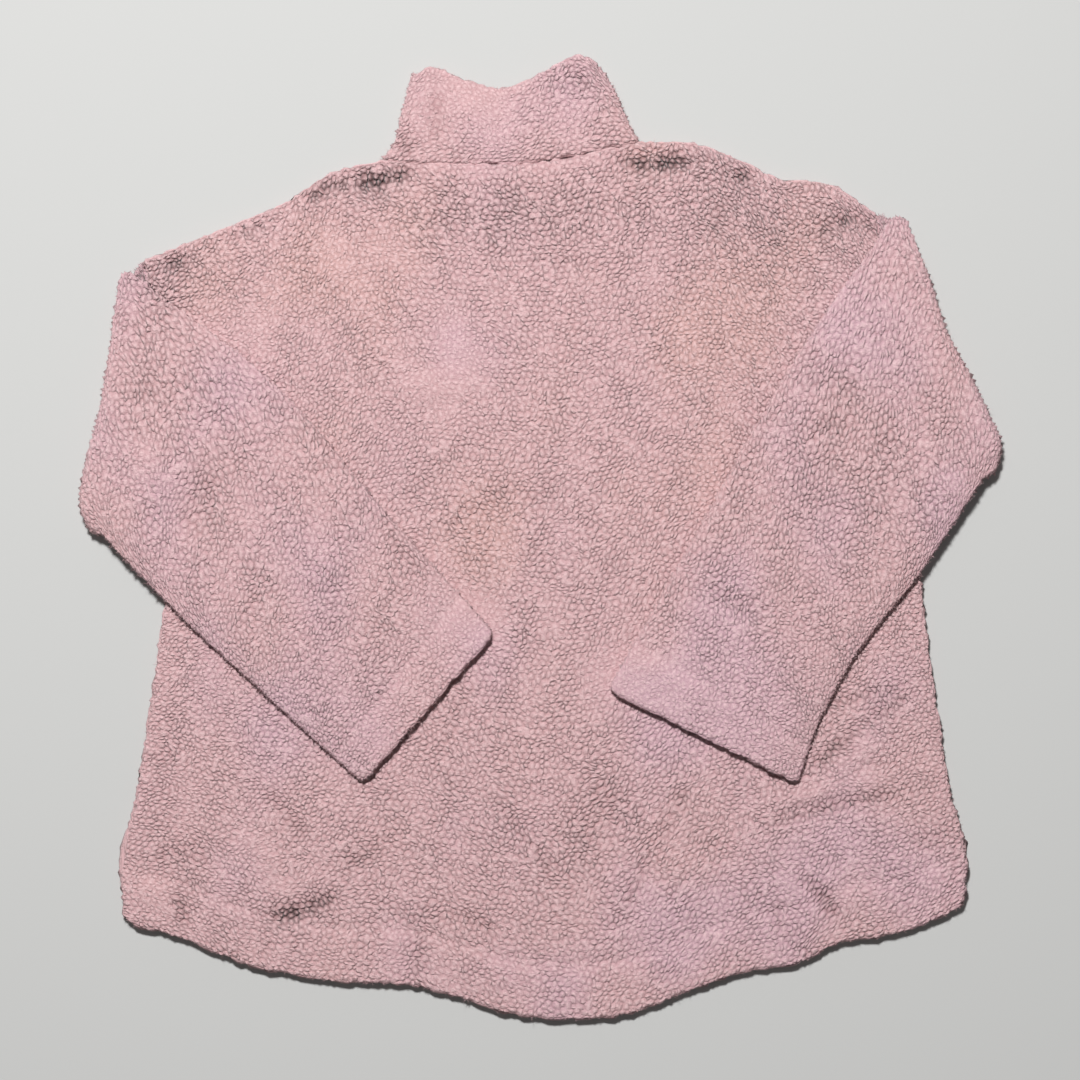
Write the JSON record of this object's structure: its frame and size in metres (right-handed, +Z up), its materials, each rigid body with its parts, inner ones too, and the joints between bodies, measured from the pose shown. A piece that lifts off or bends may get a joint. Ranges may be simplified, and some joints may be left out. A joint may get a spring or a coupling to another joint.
{
  "type": "sherpa jacket",
  "caption": "Sherpa jacket with a stand collar and a shirt-tail hem, laid face down with both sleeves folded over its back.",
  "frame": {"origin": "centre of the jacket's outline in plan, on the surface that it lies on", "axes": "+Z up from the surface, +Y from the hem to the collar, +X to the right as the jacket is seen from above, back up"},
  "size_m": [0.7357, 0.7723, 0.0237],
  "materials": {
    "sherpa": "curly pile, matt"
  },
  "bodies": {
    "root": {"back": "sherpa", "front_left": "sherpa", "front_right": "sherpa", "sleeve_left": "sherpa", "sleeve_right": "sherpa", "collar": "sherpa"}
  },
  "joints": []
}
